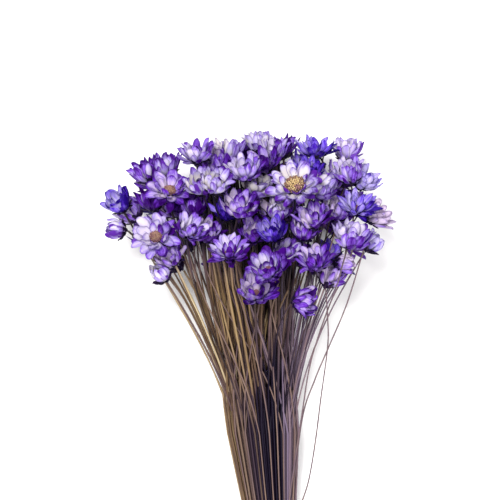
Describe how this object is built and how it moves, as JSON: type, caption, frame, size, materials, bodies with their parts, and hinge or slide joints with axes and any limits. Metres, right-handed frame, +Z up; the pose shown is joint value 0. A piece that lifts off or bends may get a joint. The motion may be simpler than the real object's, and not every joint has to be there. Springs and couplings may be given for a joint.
{
  "type": "bunch of dried daisies",
  "caption": "Tied bunch of dried, violet-dyed daisies lying on its side: a dome of papery star heads on thin straw stems.",
  "frame": {"origin": "middle of the footprint, on the surface that the bunch lies on", "axes": "+Y from the cut stem ends to the heads, +Z up from the surface, +X to the right with the heads away"},
  "size_m": [0.1174, 0.2008, 0.0791],
  "materials": {
    "bracts_violet": "dry papery bracts, satin sheen",
    "bracts_lilac": "dry papery bracts, satin sheen",
    "bracts_blue": "dry papery bracts, satin sheen",
    "bracts_pale": "dry papery bracts, satin sheen",
    "stems": "dry, matt, faintly ribbed",
    "twine": "coarse plant fibre"
  },
  "bodies": {
    "root": {"bloom_01": "bracts_pale", "bloom_02": "bracts_blue", "bloom_03": "bracts_lilac", "bloom_04": "bracts_pale", "bloom_05": "bracts_lilac", "bloom_06": "bracts_pale", "bloom_07": "bracts_violet", "bloom_08": "bracts_lilac", "bloom_09": "bracts_blue", "bloom_10": "bracts_lilac", "bloom_11": "bracts_pale", "bloom_12": "bracts_pale", "bloom_13": "bracts_violet", "bloom_14": "bracts_pale", "bloom_15": "bracts_blue", "bloom_16": "bracts_violet", "bloom_17": "bracts_violet", "bloom_18": "bracts_violet", "bloom_19": "bracts_violet", "bloom_20": "bracts_violet", "bloom_21": "bracts_violet", "bloom_22": "bracts_pale", "bloom_23": "bracts_lilac", "bloom_24": "bracts_lilac", "bloom_25": "bracts_blue", "bloom_26": "bracts_lilac", "bloom_27": "bracts_blue", "bloom_28": "bracts_lilac", "bloom_29": "bracts_violet", "bloom_30": "bracts_lilac", "bloom_31": "bracts_lilac", "bloom_32": "bracts_violet", "bloom_33": "bracts_violet", "bloom_34": "bracts_violet", "bloom_35": "bracts_violet", "bloom_36": "bracts_violet", "bloom_37": "bracts_lilac", "bloom_38": "bracts_blue", "bloom_39": "bracts_violet", "bloom_40": "bracts_pale", "bloom_41": "bracts_violet", "bloom_42": "bracts_violet", "bloom_43": "bracts_lilac", "bloom_44": "bracts_blue", "bloom_45": "bracts_violet", "bloom_46": "bracts_pale", "bloom_47": "bracts_violet", "bloom_48": "bracts_violet", "bloom_49": "bracts_lilac", "bloom_50": "bracts_blue", "bloom_51": "bracts_violet", "bloom_52": "bracts_pale", "bloom_53": "bracts_violet", "bloom_54": "bracts_violet", "bloom_55": "bracts_lilac", "bloom_56": "bracts_blue", "bloom_57": "bracts_violet", "bloom_58": "bracts_pale", "stems": "stems", "twine": "twine"}
  },
  "joints": []
}
